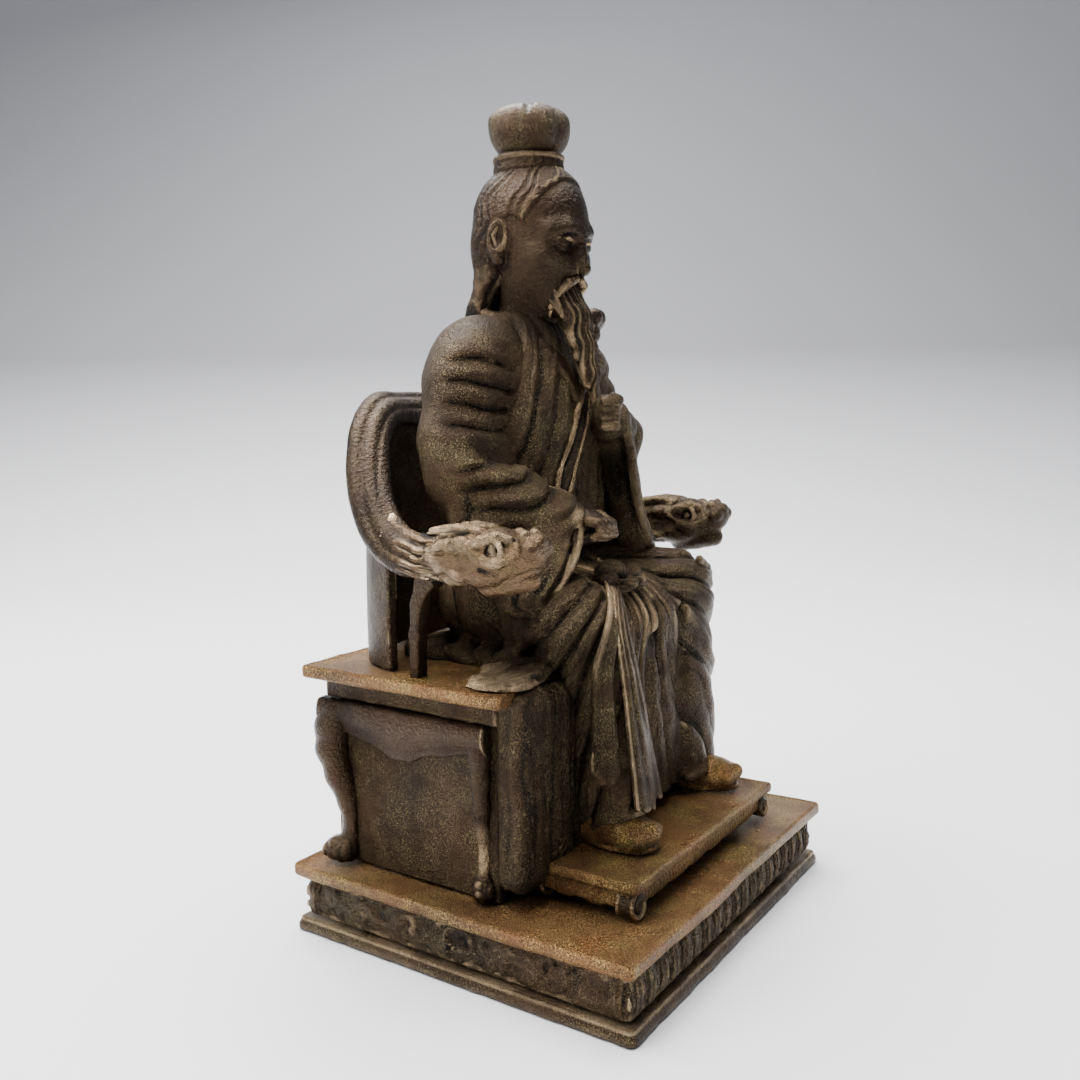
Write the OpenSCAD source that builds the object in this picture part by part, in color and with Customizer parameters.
/* [Plinth] */
// Width of the plinth, side to side
plinth_w = 90; // [88:0.5:94]
// Depth of the plinth, front to back
plinth_d = 80; // [79:0.5:84]
// Height of the moulded foot
foot_h = 3.2; // [2.8:0.1:4]
// Height of the carved frieze band
frieze_h = 8.2; // [7:0.1:10]
// Thickness of the top slab
slab_t = 3; // [2.6:0.1:3.6]
// Thickness of the frieze and foot walls
plinth_wall = 4; // [3:0.1:5]

/* [Footstool] */
// Width of the footstool board
stool_w = 63; // [58:0.5:66]
// Front edge of the footstool board, ahead of the centre
stool_front = 33.4; // [32:0.1:35]
// Thickness of the footstool board
stool_board_t = 2.3; // [2:0.1:3]
// Height of the footstool's frame and feet
stool_frame_h = 5.1; // [4.6:0.1:6]

/* [Chair] */
// Width of the seat board
seat_w = 85; // [83:0.5:86]
// Front edge of the seat board, ahead of the centre
seat_front = 12.2; // [12:0.1:13]
// Back edge of the seat board, behind the centre
seat_back = 37.7; // [37.4:0.1:39]
// Thickness of the seat board
board_t = 2.9; // [2.5:0.1:3.4]
// Height of the recessed waist
waist_h = 4; // [3.4:0.1:5]
// Height of the seat frame, from the plinth to the waist
frame_h = 34.1; // [32:0.1:37]
// Thickness of the panels of the seat box
panel_t = 2; // [1.6:0.1:3]
// Half the spread of the arm rail, at its centre line
rail_half = 37.5; // [36.5:0.1:38]
// Width of the arm rail
rail_w = 8.6; // [7.6:0.1:9]
// Thickness of the arm rail
rail_t = 5.2; // [4.4:0.1:5.4]

/* [Figure] */
// Half the width of the head with its hair
head_rx = 12; // [11:0.1:12.6]
// Half the depth of the head with its hair
head_ry = 14; // [13:0.1:14.6]
// Half the height of the head
head_rz = 16; // [15:0.1:16.4]
// Radius of the neck spigot
neck_r = 5; // [4:0.1:5.6]
// Radius of the wrist spigots
wrist_r = 1.8; // [1.4:0.1:2.2]

/* [Hidden] */

PATINA = "#4a3b30";
WORN = "#6b5648";
OLIVE = "#5a4f2e";
$fn = 12;

// Heights
slab_top = foot_h + frieze_h + slab_t;
stool_under = slab_top + stool_frame_h;
stool_top = stool_under + stool_board_t;
frame_top = slab_top + frame_h;
waist_top = frame_top + waist_h;
seat_top = waist_top + board_t;

// Plinth
foot_inset = 0.4;
frieze_inset = 2.2;
frieze_swell = 0.9;
rib_t = 2;
rib_h = 2;
peg_r = 1.2;
peg_h = 1.6;

// Footstool
stool_back = -9;
stool_x = stool_w / 2;
stool_inset = 1.8;
scallop_r = 3.4;
foot_t = 4.4;
foot_rows = [-stool_front + 3, stool_back - 2.2];

// Chair
seat_x = seat_w / 2;
waist_inset = 3.4;
wall_x = seat_x - 5;
wall_front = -seat_front + 4.9;
wall_back = seat_back - 4.7;
apron_t = 3.4;
apron_h = 7.4;
tang_w = 16;
tang_d = 14;
tang_y = 10;
tang_h = board_t + 1.6;

// The rail is an oval bar on a horseshoe plan that falls from the back to the arms
rail_steps = 14;
rail_back_y = 35.6;
rail_back_z = seat_top + 51;
rail_arm_z = seat_top + 23;
rail_end_y = -5;
rail_bend_y = 8;
panel_w = 2;
post_y = 15;

// A squarish quarter turn from the middle of the back, at 0, to the start of the straight arm, at 1
bend_power = 0.72;
function turn_x(u) = rail_half * pow(sin(90 * min(1, u)), bend_power);
function turn_y(u) = u > 1 ? rail_bend_y + (rail_end_y - rail_bend_y) * (u - 1)
    : rail_bend_y + (rail_back_y - rail_bend_y) * pow(cos(90 * u), bend_power);
function drop(u) = let (s = min(1, max(0, (u - 0.2) / 0.8))) s * s * (3 - 2 * s);
function rail_point(u) = [turn_x(u), turn_y(u), rail_back_z - (rail_back_z - rail_arm_z) * drop(u)];

// Directions along and across the rail, whose broad face rolls from the back round to the arms
roll_back = 50;
roll_arm = -60;
function unit(v) = v / norm(v);
function rail_along(u) = u < 0.01 ? [1, 0, 0]
    : unit(rail_point(min(2, u + 0.02)) - rail_point(max(0, u - 0.02)));
function rail_out(u) = let (t = rail_along(u)) unit([-t.y, t.x, 0]);
function rail_up(u) = cross(rail_along(u), rail_out(u));
function roll(u) = roll_back + (roll_arm - roll_back) * drop(u);
function rail_broad(u) = rail_out(u) * cos(roll(u)) + rail_up(u) * sin(roll(u));
function rail_thin(u) = rail_up(u) * cos(roll(u)) - rail_out(u) * sin(roll(u));

// A bar swept along the rail: outline points are [across, up]
function oval(w, t, n) = [for (i = [0 : n - 1]) [w / 2 * cos(360 * i / n), t / 2 * sin(360 * i / n)]];
function rail_ring(u, outline) = [for (q = outline)
    rail_point(u) + rail_broad(u) * q.x + rail_thin(u) * q.y];
function ladder(n, rings) = concat(
    [[for (j = [0 : n - 1]) j]],
    [for (i = [0 : rings - 2]) for (j = [0 : n - 1])
        [i * n + j, (i + 1) * n + j, (i + 1) * n + (j + 1) % n, i * n + (j + 1) % n]],
    [[for (j = [n - 1 : -1 : 0]) (rings - 1) * n + j]]
);

module swept(rings) {
    points = [for (r = rings) for (p = r) p];
    polyhedron(points, ladder(len(rings[0]), len(rings)), convexity = 6);
}

module limb(a, ra, b, rb) {
    hull() {
        translate(a) sphere(ra);
        translate(b) sphere(rb);
    }
}

// A row of joined limbs through points [x, y, z, radius]
module chain(points) {
    for (i = [0 : len(points) - 2])
        limb(
            [points[i].x, points[i].y, points[i].z], points[i][3],
            [points[i + 1].x, points[i + 1].y, points[i + 1].z], points[i + 1][3]
        );
}

module blob(c, r, turn = [0, 0, 0]) {
    hull() translate(c) rotate(turn) scale(r) sphere(1, $fn = 14);
}

module slab(lo, hi) {
    translate(lo) cube(hi - lo);
}

module flip() {
    mirror([1, 0, 0]) children();
}

module above(z) {
    slab([-60, -60, z], [60, 60, 200]);
}

module below(z) {
    slab([-60, -60, -20], [60, 60, z]);
}

// ---------------------------------------------------------------- plinth
module plinth_ring(inset, z0, z1) {
    w = plinth_w / 2 - inset;
    d = plinth_d / 2 - inset;
    slab([-w, -d, z0], [w, d, z1]);
}

module plinth_hollow(z0, z1) {
    w = plinth_w / 2 - frieze_inset - plinth_wall;
    d = plinth_d / 2 - frieze_inset - plinth_wall;
    slab([-w, -d, z0], [w, d, z1]);
}

module plinth_foot() {
    groove = foot_h * 0.12;
    color(PATINA) difference() {
        union() {
            plinth_ring(foot_inset, 0, foot_h / 2 - groove);
            plinth_ring(foot_inset + 0.6, foot_h / 2 - groove, foot_h / 2 + groove);
            plinth_ring(foot_inset + 0.2, foot_h / 2 + groove, foot_h);
        }
        plinth_hollow(-1, foot_h + 1);
    }
}

module plinth_frieze() {
    z0 = foot_h;
    z1 = foot_h + frieze_h;
    lip = 0.8;
    color(PATINA) difference() {
        hull() {
            plinth_ring(frieze_inset, z0, z0 + lip);
            plinth_ring(frieze_inset - frieze_swell, z0 + frieze_h * 0.35, z0 + frieze_h * 0.65);
            plinth_ring(frieze_inset, z1 - lip, z1);
        }
        plinth_hollow(z0 - 1, z1 + 1);
    }
}

module slab_peg_holes() {
    for (x = [-1, 1]) {
        translate([x * (stool_x - 9), -stool_front + 9, slab_top - peg_h]) cylinder(r = peg_r, h = 10, $fn = 24);
        translate([x * (stool_x - 9), stool_back - 4, slab_top - peg_h]) cylinder(r = peg_r, h = 10, $fn = 24);
    }
}

module plinth_slab() {
    w = plinth_w / 2 - frieze_inset - plinth_wall;
    d = plinth_d / 2 - frieze_inset - plinth_wall;
    color(OLIVE) difference() {
        union() {
            plinth_ring(0, slab_top - slab_t, slab_top);
            slab([-w, -d, slab_top - slab_t - rib_h], [w, d, slab_top - slab_t]);
        }
        slab([-w + rib_t, -d + rib_t, slab_top - slab_t - rib_h - 1], [w - rib_t, d - rib_t, slab_top - slab_t]);
        slab_peg_holes();
        leg_pegs(slab_top - peg_h);
    }
}

// ---------------------------------------------------------------- footstool
module footstool_board() {
    lip = 0.5;
    color(OLIVE) hull() {
        slab([-stool_x, -stool_front, stool_under + lip], [stool_x, stool_back, stool_top - lip]);
        slab([-stool_x + lip, -stool_front + lip, stool_under], [stool_x - lip, stool_back, stool_top]);
    }
}

module footstool_frame() {
    x = stool_x - stool_inset;
    front = -stool_front + stool_inset;
    color(PATINA) union() {
        difference() {
            slab([-x, front, slab_top], [x, stool_back, stool_under]);
            for (i = [-3 : 3])
                translate([i * x / 3.2, front - 0.4, slab_top]) scallop_x();
            for (s = [-1, 1], i = [0 : 1])
                translate([s * (x + 0.4), front + 7 + i * 8, slab_top]) scallop_y();
            foot_block();
        }
        for (s = [-1, 1]) {
            translate([s * (stool_x - 9), -stool_front + 9, slab_top - peg_h]) cylinder(r = peg_r, h = 3, $fn = 24);
            translate([s * (stool_x - 9), stool_back - 4, slab_top - peg_h]) cylinder(r = peg_r, h = 3, $fn = 24);
        }
    }
}

module scallop_x() {
    translate([0, 2, 0]) rotate([90, 0, 0]) cylinder(r = scallop_r, h = 4, $fn = 32);
}

module scallop_y() {
    translate([-2, 0, 0]) rotate([0, 90, 0]) cylinder(r = scallop_r, h = 4, $fn = 32);
}

module footstool_feet() {
    r = stool_frame_h / 2;
    color(WORN) for (s = [-1, 1], y = foot_rows)
        translate([s * (stool_x - r), y, slab_top + r]) rotate([90, 0, 0])
            translate([0, 0, -foot_t / 2]) cylinder(r = r, h = foot_t, $fn = 32);
}

// Room for the four scroll feet in the corners of the frame
module foot_block() {
    r = stool_frame_h / 2;
    for (s = [-1, 1], y = foot_rows)
        translate([s * (stool_x - r), y, slab_top + r])
            cube([2 * r, foot_t, 2 * r + 0.01], center = true);
}

// ---------------------------------------------------------------- seat box
module seat_front_wall() {
    color(PATINA) slab(
        [-wall_x + panel_t, wall_front, slab_top],
        [wall_x - panel_t, wall_front + panel_t, frame_top]
    );
}

module seat_back_wall() {
    color(PATINA) slab(
        [-wall_x + panel_t, wall_back - panel_t, slab_top],
        [wall_x - panel_t, wall_back, frame_top]
    );
}

module side_wall() {
    slab([-wall_x, wall_front, slab_top], [-wall_x + panel_t, wall_back, frame_top]);
}

module seat_side_wall_right() {
    color(PATINA) side_wall();
}

module seat_side_wall_left() {
    color(PATINA) flip() side_wall();
}

// Apron bar seen from its face: a rounded top, and a cusped lower edge
module apron_outline(span) {
    drop = apron_h * 0.55;
    difference() {
        translate([-span / 2, -apron_h]) square([span, apron_h]);
        for (s = [-1, 1]) {
            translate([s * span * 0.3, -apron_h - drop]) scale(1) circle(r = apron_h, $fn = 48);
            translate([s * span * 0.47, -apron_h - drop + 1]) circle(r = apron_h * 0.8, $fn = 48);
        }
    }
}

module apron_bar(span) {
    rotate([90, 0, 0]) translate([0, 0, -apron_t / 2]) linear_extrude(apron_t) apron_outline(span);
}

leg_r = 3.1;
leg_x = seat_x - leg_r - 0.6;
leg_back_y = seat_back - leg_r - 1.6;
leg_front_y = -seat_front + 8.2;
side_span = leg_back_y - leg_front_y;
side_mid = (leg_back_y + leg_front_y) / 2;

module side_apron() {
    difference() {
        translate([-wall_x - apron_t / 2, side_mid, frame_top]) rotate([0, 0, 90]) apron_bar(side_span);
        leg_form(leg_x, leg_back_y, 1);
        leg_form(leg_x, leg_front_y, 0.2);
    }
}

module seat_apron_right() {
    color(WORN) side_apron();
}

module seat_apron_left() {
    color(WORN) flip() side_apron();
}

module seat_apron_back() {
    color(WORN) difference() {
        translate([0, wall_back + apron_t / 2, frame_top]) apron_bar(2 * leg_x);
        leg_form(leg_x, leg_back_y, 1);
        flip() leg_form(leg_x, leg_back_y, 1);
    }
}

// A cabriole leg: full at the top, drawn in above the foot, which is a ball
leg_waist = 8.6;
function leg_points(x, y, s) = [
    [-x, y, frame_top - leg_r, leg_r],
    [-x, y, frame_top - 7.5, leg_r * 0.96],
    [-x + 0.4, y - 0.6 * s, frame_top - 13, leg_r * 0.82],
    [-x + 1.3, y - 2.2 * s, slab_top + 13.5, leg_r * 0.68],
    [-x + 1.6, y - 2.9 * s, slab_top + leg_waist, leg_r * 0.62],
    [-x + 0.7, y - 1.4 * s, slab_top + 5, leg_r * 0.7],
    [-x - 0.2, y - 0.4 * s, slab_top + 2.6, leg_r * 0.92]
];

module leg_form(x, y, s) {
    intersection() {
        chain(leg_points(x, y, s));
        slab([-seat_x + 0.3, -60, slab_top], [60, 60, frame_top]);
    }
}

module leg_peg(y, s, z0) {
    translate([-leg_x - 0.2, y - 0.4 * s, z0]) cylinder(r = peg_r, h = peg_h + 1, $fn = 24);
}

module leg_pegs(z0) {
    for (side = [0, 1]) mirror([side, 0, 0]) {
        leg_peg(leg_back_y, 1, z0);
        leg_peg(leg_front_y, 0.2, z0);
    }
}

module walls() {
    slab([-wall_x, wall_front, slab_top], [wall_x, wall_back, frame_top]);
}

module leg(y, s) {
    difference() {
        union() {
            leg_form(leg_x, y, s);
            leg_peg(y, s, slab_top - peg_h);
        }
        slab([-wall_x, wall_front, slab_top], [wall_x, wall_back, frame_top + 1]);
    }
}

module leg_back_right() {
    color(WORN) leg(leg_back_y, 1);
}

module leg_back_left() {
    color(WORN) flip() leg(leg_back_y, 1);
}

module leg_front_right() {
    color(WORN) leg(leg_front_y, 0.2);
}

module leg_front_left() {
    color(WORN) flip() leg(leg_front_y, 0.2);
}

module figure_tang() {
    slab(
        [-tang_w / 2, tang_y - tang_d / 2, seat_top - tang_h],
        [tang_w / 2, tang_y + tang_d / 2, seat_top]
    );
}

module waist_block() {
    slab(
        [-seat_x + waist_inset, -seat_front + waist_inset, frame_top],
        [seat_x - waist_inset, seat_back - waist_inset, waist_top]
    );
}

module seat_waist() {
    color(PATINA) difference() {
        waist_block();
        figure_tang();
    }
}

module seat_board() {
    color(OLIVE) difference() {
        slab([-seat_x, -seat_front, waist_top], [seat_x, seat_back, seat_top]);
        figure_tang();
        post_tenon();
        flip() post_tenon();
    }
}

// ---------------------------------------------------------------- chair back and rail
u_back = 0.36; // where the back member of the rail meets the side members
u_post = 0.86; // where the side panels end, at the arm posts
rail_outline = oval(rail_w, rail_t, 12);

module rail_span(u0, u1, steps) {
    swept([for (i = [0 : steps]) rail_ring(u0 + (u1 - u0) * i / steps, rail_outline)]);
}

module rail_side() {
    rail_span(u_back, 2, rail_steps);
}

module rail_left() {
    color(WORN) rail_side();
}

module rail_right() {
    color(WORN) flip() rail_side();
}

module rail_back_form() {
    rings = [for (i = [-5 : 5]) let (r = rail_ring(u_back * abs(i) / 5, rail_outline))
        i > 0 ? r : [for (p = r) [-p.x, p.y, p.z]]];
    swept(rings);
}

module rail_back() {
    color(WORN) rail_back_form();
}

// The three members of the rail as one body, which cuts the panels under it
module rail_whole() {
    stations = [
        for (i = [0 : 5]) u_back * i / 5,
        for (i = [1 : rail_steps]) u_back + (2 - u_back) * i / rail_steps
    ];
    last = len(stations) - 1;
    rings = [for (i = [-last : last]) let (r = rail_ring(stations[abs(i)], rail_outline))
        i > 0 ? r : [for (p = r) [-p.x, p.y, p.z]]];
    swept(rings);
}

// Section of the wall under the rail, on the same plan
function panel_ring(u) =
    let (p = rail_point(abs(u)), a = rail_out(abs(u)) * panel_w / 2, side = u < 0 ? -1 : 1)
    [
        [side * (p.x - a.x), p.y - a.y, seat_top],
        [side * (p.x + a.x), p.y + a.y, seat_top],
        [side * (p.x + a.x), p.y + a.y, p.z],
        [side * (p.x - a.x), p.y - a.y, p.z]
    ];

module panel_span(u0, u1, steps) {
    swept([for (i = [0 : steps]) panel_ring(u0 + (u1 - u0) * i / steps)]);
}

module side_panel() {
    difference() {
        panel_span(u_back, u_post, 8);
        rail_whole();
    }
}

module side_panel_left() {
    color(OLIVE) side_panel();
}

module side_panel_right() {
    color(OLIVE) flip() side_panel();
}

module back_panel() {
    color(OLIVE) difference() {
        panel_span(-u_back, u_back, 10);
        rail_whole();
    }
}

module post_tenon() {
    slab([rail_half - 1.2, post_y - 5.4, seat_top - board_t], [rail_half + 1.2, post_y - 3.4, seat_top + 1]);
}

module post_form() {
    difference() {
        union() {
            slab([rail_half - 1.6, post_y - 5.6, seat_top], [rail_half + 1.6, post_y - 3.2, rail_arm_z + 8]);
            hull() {
                slab([rail_half - 1.6, post_y - 5.6, rail_arm_z - 7], [rail_half + 1.6, post_y - 3.2, rail_arm_z - 6]);
                slab([rail_half - 2.4, post_y - 9, rail_arm_z + 1], [rail_half + 2.4, post_y - 2.4, rail_arm_z + 2]);
            }
            post_tenon();
        }
        rail_side();
        above(rail_arm_z);
        panel_span(u_back, u_post, 8);
    }
}

module arm_post_left() {
    color(WORN) post_form();
}

module arm_post_right() {
    color(WORN) flip() post_form();
}

// ---------------------------------------------------------------- dragon heads
head_z = rail_arm_z + 0.4;
module dragon_form() {
    x = rail_half + 0.4;
    blob([x, -8, head_z], [4.8, 7.5, 5.6]);
    blob([x, -12.5, head_z + 0.6], [4.9, 6.5, 6.2]);
    blob([x + 0.2, -16.6, head_z + 2], [4.2, 4.6, 4.6]);
    blob([x, -15.5, head_z - 3.8], [3.4, 4.4, 2.2], [12, 0, 0]);
    for (s = [-1, 1]) {
        blob([x + s * 3.2, -11.5, head_z + 3.4], [1.9, 2.6, 2]);
        blob([x + s * 2.4, -18.6, head_z + 3.6], [1.6, 1.9, 1.9]);
        limb([x + s * 3.4, -6, head_z + 2], 1.3, [x + s * 3.6, 2, head_z + 1], 0.8);
    }
}

module dragon_head() {
    difference() {
        dragon_form();
        rail_side();
        sleeve_hang();
    }
}

module dragon_head_left() {
    color(WORN) dragon_head();
}

module dragon_head_right() {
    color(WORN) difference() {
        flip() dragon_form();
        flip() rail_side();
        sleeve_right_form();
    }
}

// ---------------------------------------------------------------- figure
// Heights of the figure are measured up from the seat
module on_seat() {
    translate([0, 0, seat_top]) children();
}

head_c = [0, 8, 85.6];
knot_z = 101.6;
knot_top = 113.2;

module neck() {
    translate([0, 11, 66]) rotate([8, 0, 0]) cylinder(r = neck_r, h = 14, $fn = 24);
}

module head_form() {
    blob(head_c + [0, 1, 1.6], [head_rx - 1.3, head_ry - 1.8, head_rz - 2.8]);
    blob(head_c + [0, -4, -5], [head_rx - 3.4, head_ry - 5, head_rz - 6]);
    blob(head_c + [0, -6.5, -10], [5, 4.6, 4.4]);
    limb(head_c + [0, -12.4, 1], 1.1, head_c + [0, -14, -4], 1.7);
    for (s = [-1, 1])
        blob(head_c + [s * 4.6, -8, -4.6], [3.6, 3.4, 3.2]);
}

module ear_form() {
    for (s = [-1, 1])
        hull() {
            translate(head_c + [s * 10.8, 3.6, 0.4]) sphere(1.6);
            translate(head_c + [s * 10.4, 2.6, -5]) sphere(1.4);
            translate(head_c + [s * 7, 3, -2]) sphere(3);
        }
}

module head() {
    color(WORN) on_seat() union() {
        difference() {
            head_form();
            moustache_form();
        }
        ear_form();
        neck();
    }
}

module hair_cap() {
    difference() {
        blob(head_c + [0, 1.6, 2.2], [head_rx, head_ry - 0.6, head_rz - 1.4]);
        blob(head_c + [0, -11, -8], [head_rx + 4, 11, 16.5]);
        below(head_c.z - 12);
    }
}

module hair_form() {
    hair_cap();
    chain([
        [0, 17.4, head_c.z - 1, 5], [0, 18, head_c.z - 9, 4.4], [0, 19.6, head_c.z - 16.6, 4.7],
        [0, 21, head_c.z - 24, 4.8], [0, 21, head_c.z - 33, 2.6]
    ]);
    for (s = [-1, 1])
        chain([
            [s * 7, 15, head_c.z - 3, 3], [s * 7, 15.2, head_c.z - 9, 2.8],
            [s * 8.2, 16, head_c.z - 15, 2.6], [s * 7, 19.8, head_c.z - 25, 2.2]
        ]);
}

module hair() {
    color(PATINA) on_seat() difference() {
        hair_form();
        head_form();
        ear_form();
        neck();
        torso_core();
        topknot_form();
    }
}

module topknot_spigot() {
    translate([0, 9, knot_z - 5]) cylinder(r = 3, h = 5.2, $fn = 24);
}

module topknot_band() {
    color(PATINA) on_seat() difference() {
        translate([0, 9, knot_z - 3.2]) cylinder(r1 = 7.9, r2 = 7.5, h = 3.2, $fn = 32);
        topknot_spigot();
        hair_cap();
    }
}

module topknot_form() {
    h = knot_top - knot_z;
    translate([0, 9, knot_z]) rotate_extrude($fn = 40) polygon([
        [0, 0], [6.4, 0], [7.1, h * 0.15], [7.8, h * 0.4], [8, h * 0.62], [7.5, h * 0.85],
        [6.2, h * 0.96], [4.4, h], [1.6, h * 0.96], [0, h * 0.93]
    ]);
    topknot_spigot();
}

module topknot() {
    color(WORN) on_seat() difference() {
        topknot_form();
        head_form();
    }
}

module moustache_form() {
    for (s = [-1, 1])
        chain([
            [s * 1.2, head_c.y - 13.6, head_c.z - 7, 0.9],
            [s * 3.6, head_c.y - 13, head_c.z - 9, 0.8],
            [s * 4.6, head_c.y - 13, head_c.z - 14, 0.5]
        ]);
}

module moustache() {
    color(WORN) on_seat() difference() {
        moustache_form();
        beard_form();
    }
}

module beard_form() {
    chain([
        [0, head_c.y - 9.4, head_c.z - 13.4, 3.2], [0.2, head_c.y - 10.8, head_c.z - 18, 2.8],
        [0.6, head_c.y - 12.2, head_c.z - 24, 2.2], [1, head_c.y - 13.4, head_c.z - 30, 1.5],
        [1.2, head_c.y - 14.2, head_c.z - 35, 0.7]
    ]);
    for (s = [-1, 1])
        chain([
            [s * 2.6, head_c.y - 9, head_c.z - 13, 2],
            [s * 1.9, head_c.y - 11.2, head_c.z - 21, 1.4],
            [s * 1, head_c.y - 12.8, head_c.z - 28, 0.9]
        ]);
}

module beard() {
    color(WORN) on_seat() difference() {
        beard_form();
        head_form();
        hand_left_form();
    }
}

// Trunk of the robe, from the shoulders to the belt
module torso_core() {
    blob([0, 9, 46], [20, 12.6, 24]);
    blob([0, 9, 30], [19, 13.4, 14]);
    blob([0, 11, 60], [22, 9, 8.5]);
    for (s = [-1, 1])
        limb([s * 8, 11, 64], 6, [s * 20, 10.5, 59], 7.4);
    limb([0, 11, 62], 9, [0, 10.5, 68], 6.2);
}

module robe_torso() {
    color(PATINA) on_seat() difference() {
        torso_core();
        neck();
        sleeve_right_cut();
        sleeve_left_form();
        collar_form();
        belt_form();
        hand_left_form();
        beard_form();
        head_form();
        below(22);
    }
}

module sleeve_right_upper() {
    limb([-21.5, 10, 60], 7.6, [-24.5, 10, 50], 7.4);
    limb([-24.5, 10, 50], 7.4, [-27, 9.5, 40], 6.8);
    limb([-27, 9.5, 40], 6.8, [-22, -1, 31], 5.6);
    limb([-22, -1, 31], 5.6, [-15.5, -9, 27.5], 4.6);
}

// Hanging part of the right sleeve, between the arm of the chair and the lap
module sleeve_right_hang() {
    hull() {
        translate([-26, 8, 36]) sphere(5);
        translate([-27, 6, 26]) sphere(4.4);
        translate([-25, -6, 24]) sphere(4);
        translate([-18, -9, 26]) sphere(3.6);
    }
    hull() {
        translate([-27, 4, 24]) sphere(3.6);
        translate([-26.5, -7, 22]) sphere(3.4);
        translate([-27.5, -11, 12]) sphere(2.6);
        translate([-24, -12, 20]) sphere(3);
    }
}

module sleeve_right_form() {
    on_seat() {
        sleeve_right_upper();
        sleeve_right_hang();
    }
}

module sleeve_right_cut() {
    sleeve_right_upper();
    sleeve_right_hang();
}

module sleeve_right() {
    color(PATINA) difference() {
        on_seat() difference() {
            sleeve_right_cut();
            hand_right_form();
        }
        flip() rail_side();
        flip() post_form();
    }
}

module sleeve_left_form() {
    limb([19, 10.5, 60], 7.4, [21.6, 9, 50.5], 6.8);
    limb([21.6, 9, 50.5], 6.8, [20.8, 6, 42], 6);
    limb([20.8, 6, 42], 6, [13.6, -3.4, 44], 5.2);
    limb([13.6, -3.4, 44], 5.2, [6.6, -6.3, 47.6], 4.3);
    sleeve_left_hang();
}

module sleeve_left_hang() {
    hull() {
        translate([20.4, 3.4, 38.6]) sphere(4.6);
        translate([12.6, -4.8, 42]) sphere(3.8);
        translate([20, -3, 22]) sphere(4.2);
        translate([14, -4.5, 26]) sphere(3.6);
    }
    hull() {
        translate([20, -2.4, 22]) sphere(4.2);
        translate([16, -5, 24]) sphere(3.6);
        translate([22.4, -5, 18.5]) sphere(3);
    }
}

module sleeve_hang() {
    on_seat() sleeve_left_hang();
}

module sleeve_left() {
    color(PATINA) difference() {
        on_seat() difference() {
            sleeve_left_form();
            hand_left_form();
        }
        rail_side();
        post_form();
    }
}

module fingers(base, step, reach, r) {
    for (i = [0 : 3])
        limb(base + step * i, r, base + step * i + reach, r * 0.8);
}

module hand_right_form() {
    limb([-16.5, -7, 29.2], wrist_r, [-12.8, -10.4, 28.4], 2.4);
    blob([-12, -11.8, 28], [3.1, 3.4, 2.4], [0, 0, 30]);
    fingers([-14.4, -13.2, 28.2], [1.55, 0.1, -0.15], [0.8, -2.4, -1.6], 1.15);
    limb([-9.8, -10.8, 29], 1.2, [-9, -14.2, 28.6], 0.9);
}

module hand_right() {
    color(WORN) on_seat() hand_right_form();
}

module hand_left_form() {
    limb([8, -6, 47.4], wrist_r, [4, -7, 48.2], 2.4);
    blob([2, -7.4, 48.6], [3.2, 3, 3.8]);
    fingers([-0.6, -8.4, 46.2], [0, -0.1, 1.7], [3, -2, 0.2], 1.15);
    limb([1.6, -9.4, 52], 1.2, [0, -8.8, 54], 1);
}

module hand_left() {
    color(WORN) on_seat() hand_left_form();
}

module collar_form() {
    chain([
        [9, 14, 69.5, 1.8], [8.4, 6, 66, 1.8], [3.5, -2.6, 58, 1.7],
        [-1.5, -5, 48, 1.6], [-8, -4.8, 34, 1.5]
    ]);
    chain([
        [-9, 14, 69.5, 1.8], [-8.4, 6, 66, 1.8], [-3.5, -2.8, 58, 1.7],
        [-1, -3.8, 53, 1.5]
    ]);
    chain([[9, 14, 69.5, 1.8], [0, 17.5, 70, 1.8], [-9, 14, 69.5, 1.8]]);
}

module collar() {
    color(WORN) on_seat() difference() {
        collar_form();
        hair_form();
        neck();
        head_form();
        beard_form();
        hand_left_form();
        belt_form();
    }
}

module belt_form() {
    hull() {
        translate([0, 9, 22]) scale([19.6, 14.2, 1]) cylinder(r = 1, h = 6.4, $fn = 40);
    }
}

module belt() {
    color(WORN) on_seat() difference() {
        belt_form();
        sleeve_left_form();
        sleeve_right_cut();
        hand_right_form();
        lap_knot_form();
        slab([-60, 20, 0], [60, 60, 80]);
    }
}

// Hips, thighs and knees under the robe
module lap_form() {
    blob([0, 11, 12], [25, 16, 14]);
    limb([-11, 8, 12], 11, [-20, -13, 8.6], 9);
    limb([11, 8, 12], 11, [21.5, -13, 8.6], 9);
    limb([-14, -8, 9], 8, [14, -8, 9], 8);
    hull() {
        slab([-26, -6, 0], [26, 26, 3]);
        slab([-24, -4, 0], [24, 24, 10]);
    }
}

module robe_lap() {
    color(PATINA) difference() {
        union() {
            on_seat() difference() {
                intersection() {
                    lap_form();
                    above(0);
                }
                above(22);
                hand_right_form();
                sleeve_right_cut();
                sleeve_left_form();
                lap_knot_form();
            }
            figure_tang();
        }
        skirt_line();
    }
}

module skirt_line() {
    slab([-60, -60, 0], [60, -seat_front, seat_top + 5]);
}

module lap_knot_form() {
    blob([-4.6, -12.4, 16.6], [3.6, 3.4, 2.6]);
    blob([-8.6, -13.4, 16], [3.4, 2.6, 1.8], [0, 0, 20]);
    blob([-0.6, -13.4, 16], [3.4, 2.6, 1.8], [0, 0, -20]);
}

module lap_knot() {
    color(WORN) on_seat() difference() {
        lap_knot_form();
        hand_right_form();
    }
}

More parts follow.
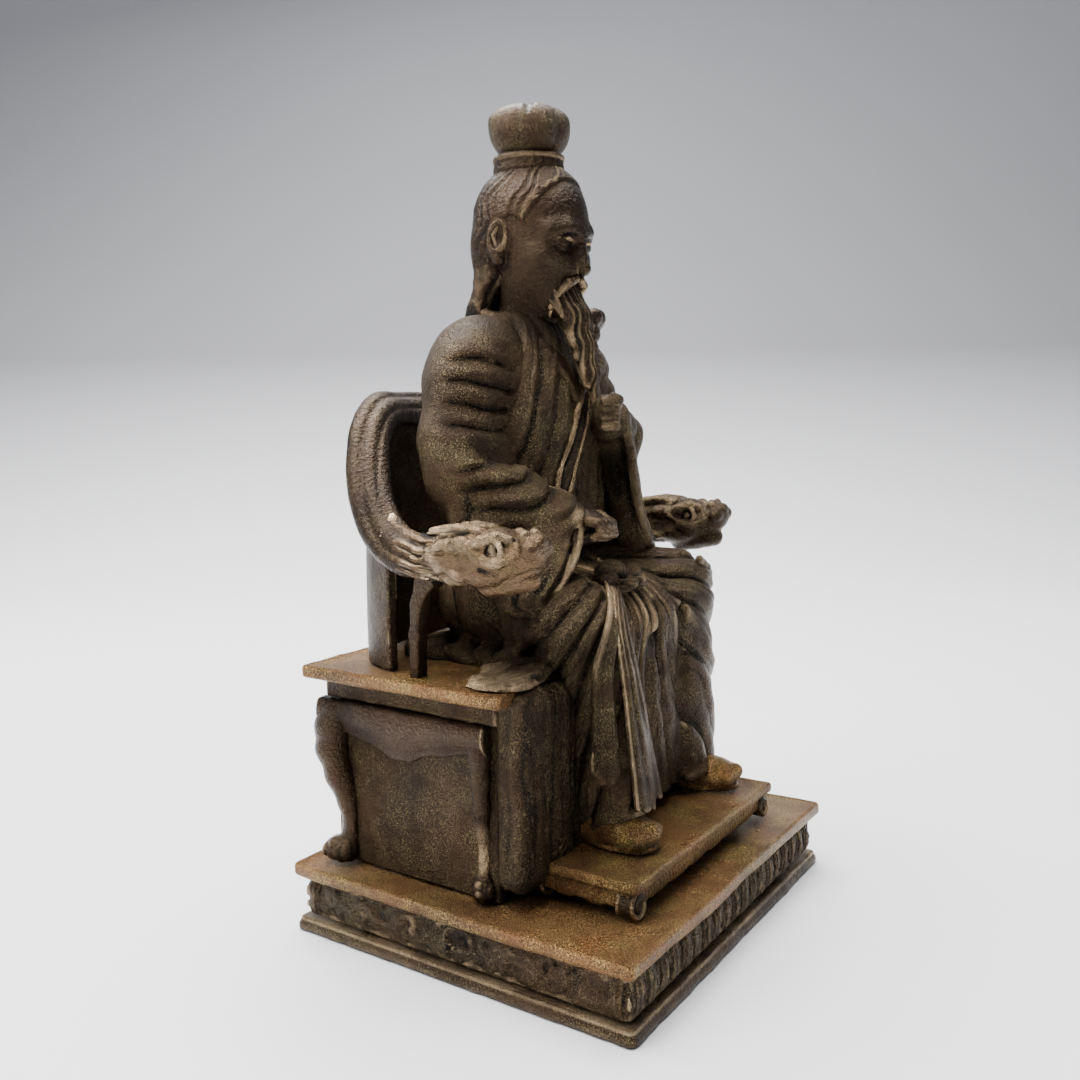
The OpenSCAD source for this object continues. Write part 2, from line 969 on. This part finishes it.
// Skirt of the robe, from the knees down to the feet
hem_z = stool_top - seat_top + 3.2;
module skirt_form() {
    chain([[-19, -14, 8.6, 8.8], [-16.2, -17.4, -8, 6.8], [-15.2, -18.6, -24, 6.6]]);
    chain([[21.5, -14, 8.6, 9], [21.5, -15, -8, 7.6], [21, -15.5, -24, 7.2]]);
    hull() {
        limb([-14, -13, 4], 6, [20, -13, 4], 6);
        limb([-13, -13.5, hem_z + 2], 5.4, [19, -13.5, hem_z + 2], 5.4);
    }
}

module robe_skirt() {
    color(PATINA) on_seat() difference() {
        intersection() {
            skirt_form();
            slab([-60, -60, hem_z], [60, -seat_front, 5]);
        }
        lap_form();
        sash_right_form();
        sash_left_form();
        drape_form();
    }
}

// Hanging front panel that covers the front of the seat, from its edge almost to the plinth
drape_front = 15.6;
drape_low = slab_top - seat_top + 2.8;
module drape_form() {
    slab([-seat_x + 2.4, -drape_front + 0.6, drape_low], [seat_x - 2.4, -seat_front, -0.4]);
    slab([-seat_x + 3.6, -seat_front, drape_low], [seat_x - 3.6, wall_front, waist_top - seat_top]);
    for (i = [-6 : 6])
        limb([i * 6, -drape_front + 1.6, -2], 1.6, [i * 6.1, -drape_front + 1.4, slab_top - seat_top + 4.6], 1.8);
}

module robe_front_drape() {
    color(PATINA) on_seat() difference() {
        intersection() {
            drape_form();
            slab([-60, -60, drape_low], [60, wall_front, -0.4]);
        }
        translate([0, 0, -seat_top]) {
            footstool_board_block();
            waist_block();
            shoe(SHOE_RIGHT);
            shoe(SHOE_LEFT);
        }
    }
}

module footstool_board_block() {
    slab([-stool_x, -stool_front, 0], [stool_x, stool_back, stool_top]);
}

module side_drape_form() {
    blob([-33, -5, 1.2], [8, 7, 2.4]);
    blob([-36, -9, 1], [5, 3.6, 2]);
    hull() {
        translate([-30, 0, 1.4]) sphere(1.4);
        translate([-24, -9, 3]) sphere(3);
        translate([-37, -10, 1.4]) sphere(1.4);
    }
}

module side_drape() {
    difference() {
        on_seat() intersection() {
            side_drape_form();
            slab([-60, -seat_front, 0], [0, 40, 30]);
        }
        on_seat() {
            lap_form();
            flip() lap_form();
        }
        sleeve_right_form();
        flip() sleeve_hang();
    }
}

module side_drape_right() {
    color(WORN) side_drape();
}

module side_drape_left() {
    color(WORN) flip() side_drape();
}

module sash_right_form() {
    hull() {
        translate([-23.6, -19.4, 0]) sphere(1.5);
        translate([-21.4, -22.6, 0]) sphere(1.5);
        translate([-22.8, -18.8, -17.5]) sphere(1.5);
        translate([-19.8, -23, -17.5]) sphere(1.5);
    }
    limb([-21, -18.4, 8], 1.8, [-22.6, -21, 0], 1.8);
}

module sash_left_form() {
    hull() {
        translate([-17.4, -21.8, 0]) sphere(1.5);
        translate([-15.4, -24.4, 0]) sphere(1.5);
        translate([-13.6, -23, -26]) sphere(1.5);
        translate([-4.4, -23, -26]) sphere(1.5);
    }
    limb([-13, -18.6, 9], 1.8, [-16.2, -22.6, 0], 1.8);
}

module sash_end_right() {
    color(WORN) on_seat() difference() {
        sash_right_form();
        slab([-60, -60, 5], [60, 0, 20]);
    }
}

module sash_end_left() {
    color(WORN) on_seat() difference() {
        sash_left_form();
        slab([-60, -60, 5], [60, 0, 20]);
    }
}

module shoulder_knot_form() {
    blob([17.4, 6.8, 68], [4.4, 3.8, 3.6]);
    blob([15, 4.2, 66.6], [2.6, 2.4, 2.6]);
    blob([20, 5, 70], [2.4, 2.2, 2.4]);
}

module shoulder_knot() {
    color(WORN) on_seat() difference() {
        shoulder_knot_form();
        torso_core();
        sleeve_left_form();
    }
}

// Shoes stand on the footstool, toes turned a little outward
SHOE_RIGHT = [-16.2, -19.8, -4];
SHOE_LEFT = [22.2, -19.2, 12];

// place is [x, y, turn about the vertical]
module shoe(place) {
    translate([place.x, place.y, stool_top]) rotate([0, 0, place.z]) intersection() {
        union() {
            blob([0, 0, 1.6], [4.6, 8, 3.6]);
            blob([0, -4.6, 1.8], [4.2, 4, 3.2]);
            blob([0, 4, 3], [4.4, 5, 3.6]);
        }
        slab([-10, -12, 0], [10, 12, 3.2]);
    }
}

module shoe_right() {
    color(WORN) shoe(SHOE_RIGHT);
}

module shoe_left() {
    color(WORN) shoe(SHOE_LEFT);
}

plinth_foot();
plinth_frieze();
plinth_slab();
footstool_board();
footstool_frame();
footstool_feet();
seat_front_wall();
seat_back_wall();
seat_side_wall_right();
seat_side_wall_left();
seat_apron_right();
seat_apron_left();
seat_apron_back();
leg_front_right();
leg_front_left();
leg_back_right();
leg_back_left();
seat_waist();
seat_board();
back_panel();
side_panel_right();
side_panel_left();
arm_post_right();
arm_post_left();
rail_back();
rail_right();
rail_left();
dragon_head_right();
dragon_head_left();
robe_torso();
robe_lap();
robe_skirt();
robe_front_drape();
side_drape_right();
side_drape_left();
sleeve_right();
sleeve_left();
hand_right();
hand_left();
collar();
belt();
lap_knot();
sash_end_right();
sash_end_left();
shoulder_knot();
head();
hair();
topknot();
topknot_band();
moustache();
beard();
shoe_right();
shoe_left();
